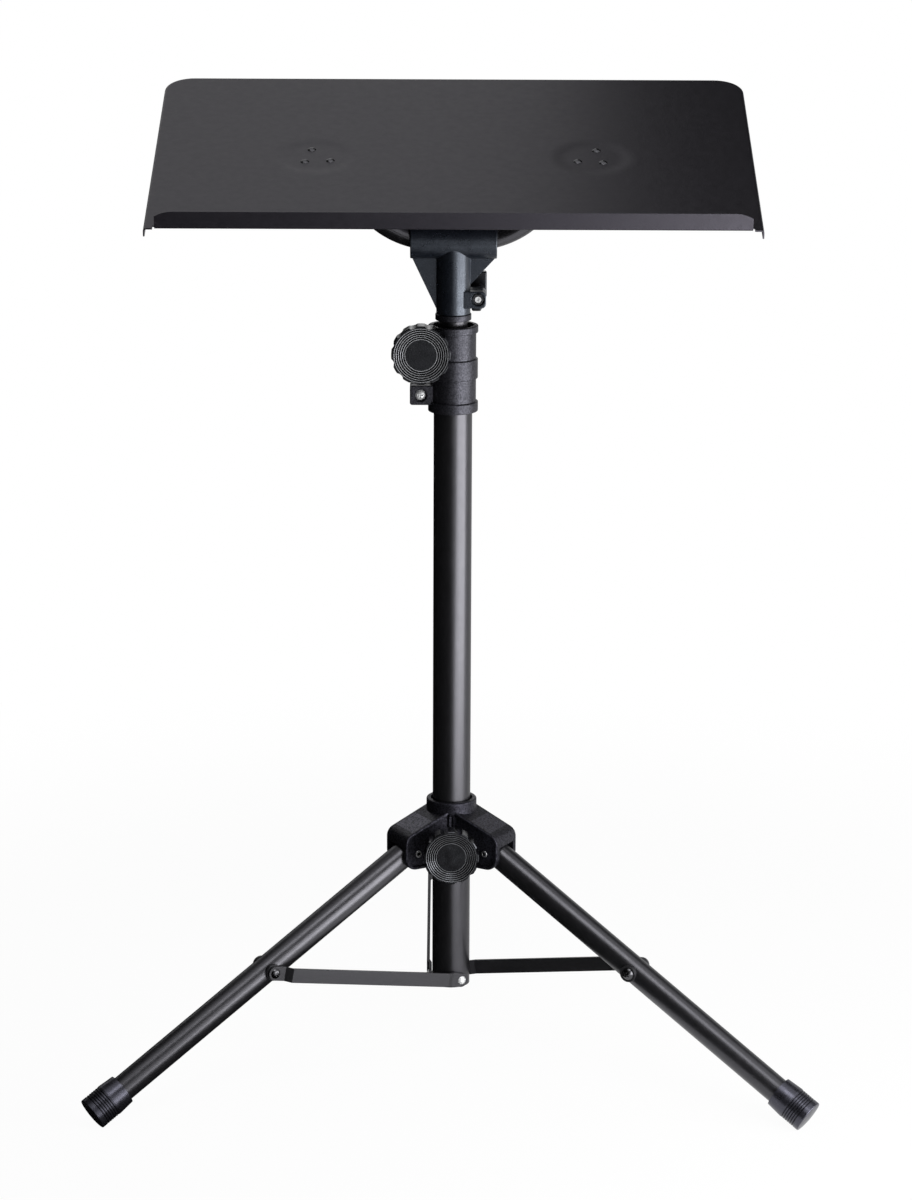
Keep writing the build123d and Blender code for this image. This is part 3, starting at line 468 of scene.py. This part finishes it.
# Strut pivots: a pair of plastic bushes on each leg, with a black plated screw through them
# and its nut on the strut.
black_zinc = plate("black_zinc", colour=(0.1, 0.1, 0.107), roughness=0.24, metal=1.0)
for side in ("left", "right", "back"):
    finish_nodes(bush_plastic, "pivot_bush_" + side)
    finish_nodes(black_zinc, "pivot_screw_" + side, "strut_nut_" + side)


# Feet: ribbed rubber caps pushed on the ends of the legs and cut flat where they stand. The grooves
# between the ribs get a painted shade: the rubber's shine is turned down there.
leg_slope = radians(31.1)
# Share of the shine left in the foot's grooves, as painted shade.
foot_groove_shade_shine = 0.12
# Grooves are measured down the leg's slope from the column's axis at the floor. A groove's rim and
# floor are shares of the pitch from its middle.
first_groove = 0.26939
groove_pitch = 0.0022
groove_count = 6
groove_rim = 0.32
groove_floor = 0.1


def reach_from(tree, place, axis, across):
    """Distance from an axis; across has a 1 for each direction that counts."""
    flat = tree.nodes.new("ShaderNodeVectorMath")
    flat.operation = "MULTIPLY_ADD"
    flat.inputs[1].default_value = across
    flat.inputs[2].default_value = [-at * counts for at, counts in zip(axis, across)]
    tree.links.new(place, flat.inputs[0])
    reach = tree.nodes.new("ShaderNodeVectorMath")
    reach.operation = "LENGTH"
    tree.links.new(flat.outputs["Vector"], reach.inputs[0])
    return reach.outputs["Value"]


def from_ring(tree, value, first, pitch):
    """0 on each ring of an even row, rising to 0.5 halfway to the next."""
    turns = ranged(tree, value, first, first + pitch, 0.0, 1.0, clamp=False)
    return reckon(tree, "PINGPONG", turns, 0.5)


rubber = moulding(
    "black_rubber",
    colour=(0.005, 0.005, 0.0062),
    roughness=0.3,
    grain_size=0.0009,
    grain_depth=0.00001,
    specular=1.0,
    mottling=0.1,
    cast=(0.8, 0.8, 1.0),
    edge_radius=0.0001,
)
rubber_tree = rubber.node_tree
rubber_place = rubber_tree.nodes.new("ShaderNodeTexCoord").outputs["Object"]
from_column = reach_from(rubber_tree, rubber_place, column_axis, (1.0, 1.0, 0.0))
above_floor = rubber_tree.nodes.new("ShaderNodeSeparateXYZ")
rubber_tree.links.new(rubber_place, above_floor.inputs["Vector"])
drop = reckon(rubber_tree, "MULTIPLY", above_floor.outputs["Z"], -sin(leg_slope))
down_leg = reckon(rubber_tree, "MULTIPLY_ADD", from_column, cos(leg_slope), drop)
from_groove = from_ring(rubber_tree, down_leg, first_groove, groove_pitch)
sunk = ranged(rubber_tree, from_groove, groove_rim, groove_floor, 0.0, 1.0, smooth=True)
ribs_middle = first_groove + groove_pitch * (groove_count - 1) / 2
ribs_half_length = groove_pitch * groove_count / 2
on_ribs = reckon(rubber_tree, "COMPARE", down_leg, ribs_middle, ribs_half_length)
foot_groove_shade = reckon(rubber_tree, "MULTIPLY", sunk, on_ribs)
# Painted shade in the grooves: their shine is cut to a small share.
scale_shine(rubber_tree, ranged(rubber_tree, foot_groove_shade, 0.0, 1.0, 1.0, foot_groove_shade_shine))
finish_nodes(rubber, "foot_left", "foot_right", "foot_back")


# Collar: the split clamp on the column's top, moulded in grained nylon. A bright screw with a nut
# closes its lower ears, and the height knob's bolt with another nut its upper ones.
nylon = moulding(
    "grained_nylon",
    colour=(0.006, 0.006, 0.0075),
    roughness=0.42,
    grain_size=0.0012,
    grain_depth=0.0001,
    specular=0.6,
    mottling=0.4,
    cast=(0.85, 0.85, 1.0),
    edge_radius=0.0005,
)
finish_nodes(nylon, "height_collar")
finish_nodes(zinc, "collar_screw", "collar_nut", "height_bolt", "height_nut")


# Height knob: smooth black plastic moulded on the head of its bolt, with a scalloped rim and
# crisp rings on its face. The rings' crests carry a painted highlight in a pale colour, and the
# grooves between them a painted shade.
knob_cast = (0.87, 0.9, 1.0)
# Share of the shine left in the knob's grooves, as painted shade.
knob_groove_shade_shine = 0.2
# Shares of the ring pitch: a crest's foot and top from its middle, and the margins of the rings.
crest_foot = 0.24
crest_top = 0.02
inner_margin = 0.3
outer_margin = 0.2


def ridged(name, axis, first_crest, pitch, last_crest, crest_highlight_colour):
    """Knob plastic with a painted highlight in a pale colour on its ridge crests and a painted shade in
    its grooves; the centre stays black.
    """
    material = moulding(
        name,
        colour=(0.003, 0.003, 0.0033),
        roughness=0.22,
        grain_size=0.0012,
        grain_depth=0.00002,
        specular=0.7,
        mottling=0.1,
        cast=knob_cast,
        edge_radius=0.00012,
    )
    tree = material.node_tree
    place = tree.nodes.new("ShaderNodeTexCoord").outputs["Object"]
    radius = reach_from(tree, place, axis, (1.0, 0.0, 1.0))
    from_crest = from_ring(tree, radius, first_crest, pitch)
    crest = ranged(tree, from_crest, crest_foot, crest_top, 0.0, 1.0, smooth=True)
    outside = reckon(tree, "GREATER_THAN", radius, first_crest - inner_margin * pitch)
    inside = reckon(tree, "LESS_THAN", radius, last_crest + outer_margin * pitch)
    on_rings = reckon(tree, "MULTIPLY", outside, inside)
    # Painted highlight: a pale colour mixed into the plastic on the ring crests.
    crest_highlight = reckon(tree, "MULTIPLY", on_rings, crest)
    plastic_colour = tree.nodes["Principled BSDF"].inputs["Base Color"]
    pale = tree.nodes.new("ShaderNodeMix")
    pale.data_type = "RGBA"
    pale.inputs["B"].default_value = (*crest_highlight_colour, 1.0)
    tree.links.new(crest_highlight, pale.inputs["Factor"])
    tree.links.new(plastic_colour.links[0].from_socket, pale.inputs["A"])
    tree.links.new(pale.outputs["Result"], plastic_colour)
    # Painted shade: the grooves between the crests lose most of their shine.
    groove = reckon(tree, "SUBTRACT", on_rings, crest_highlight)
    scale_shine(tree, ranged(tree, groove, 0.0, 1.0, 1.0, knob_groove_shade_shine))
    return material


knob_low, knob_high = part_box("height_knob")
height_knob_plastic = ridged(
    "height_knob_plastic",
    axis=(knob_low + knob_high) / 2,
    first_crest=0.01318,
    pitch=0.00178,
    last_crest=0.0221,
    crest_highlight_colour=(0.3, 0.305, 0.32),
)
finish_nodes(height_knob_plastic, "height_knob")


# Hub knob: the same kind of knob, a little smaller, with a fainter painted highlight on its crests.
# Its zinc plated screw runs in a brass insert in the hub and presses on the column.
knob_low, knob_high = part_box("hub_knob")
hub_knob_plastic = ridged(
    "hub_knob_plastic",
    axis=(knob_low + knob_high) / 2,
    first_crest=0.01253,
    pitch=0.00167,
    last_crest=0.0209,
    crest_highlight_colour=(0.11, 0.112, 0.118),
)
finish_nodes(hub_knob_plastic, "hub_knob")
finish_nodes(zinc, "hub_screw")
brass = plate("turned_brass", colour=(0.66, 0.46, 0.2), roughness=0.3, metal=1.0)
finish_nodes(brass, "hub_insert")


# Head: the moulded T that turns on the inner tube above a nylon ring and holds the desk's bow in
# its sleeve. It is satin black with a blue cast and a fine grain, and a black nut sits in its ear.
head_satin = moulding(
    "head_satin",
    colour=(0.006, 0.0076, 0.0115),
    roughness=0.3,
    grain_size=0.0009,
    grain_depth=0.00004,
    specular=0.95,
    mottling=0.2,
    cast=(0.78, 0.86, 1.0),
    edge_radius=0.0005,
)
finish_nodes(head_satin, "head")
finish_nodes(nylon, "neck_ring")
finish_nodes(black_zinc, "head_nut")


# Wing screw: clamps the head's ear on the inner tube. The wing is smooth black plastic, moulded on
# a zinc plated stud.
wing_plastic = moulding(
    "smooth_black",
    colour=(0.004, 0.004, 0.0043),
    roughness=0.2,
    grain_size=0.0012,
    grain_depth=0.00002,
    specular=0.5,
    mottling=0.1,
    cast=knob_cast,
    edge_radius=0.0003,
)
finish_nodes(wing_plastic, "wing_handle")
finish_nodes(zinc, "wing_stud")


# Bow: a steel tube bent to an arc under the desk, with its ends pressed flat to tabs. It turns in
# the head's sleeve and has a smooth gloss black coat.
bow_coat = coat(
    "bow_gloss_black",
    colour=(0.006, 0.006, 0.0066),
    roughness=0.2,
    peel_size=0.0009,
    peel_depth=0.00002,
    specular=1.0,
    cast=coat_cast,
)
finish_nodes(bow_coat, "desk_bow")


# Desk: pressed sheet steel with a folded ledge, in a fine textured black coat. Six rivets with
# gloss black domed heads hold it on the bow's tabs.
desk_coat = coat(
    "desk_textured_black",
    colour=(0.0095, 0.0088, 0.0112),
    roughness=0.36,
    peel_size=0.0014,
    peel_depth=0.00007,
    specular=0.54,
    cast=(0.89, 0.84, 1.0),
)
finish_nodes(desk_coat, "desk_panel")
rivet_coat = coat(
    "rivet_gloss_black",
    colour=(0.012, 0.012, 0.013),
    roughness=0.2,
    peel_size=0.0009,
    peel_depth=0.00002,
    specular=1.0,
    cast=coat_cast,
)
finish_nodes(rivet_coat, "desk_rivets")
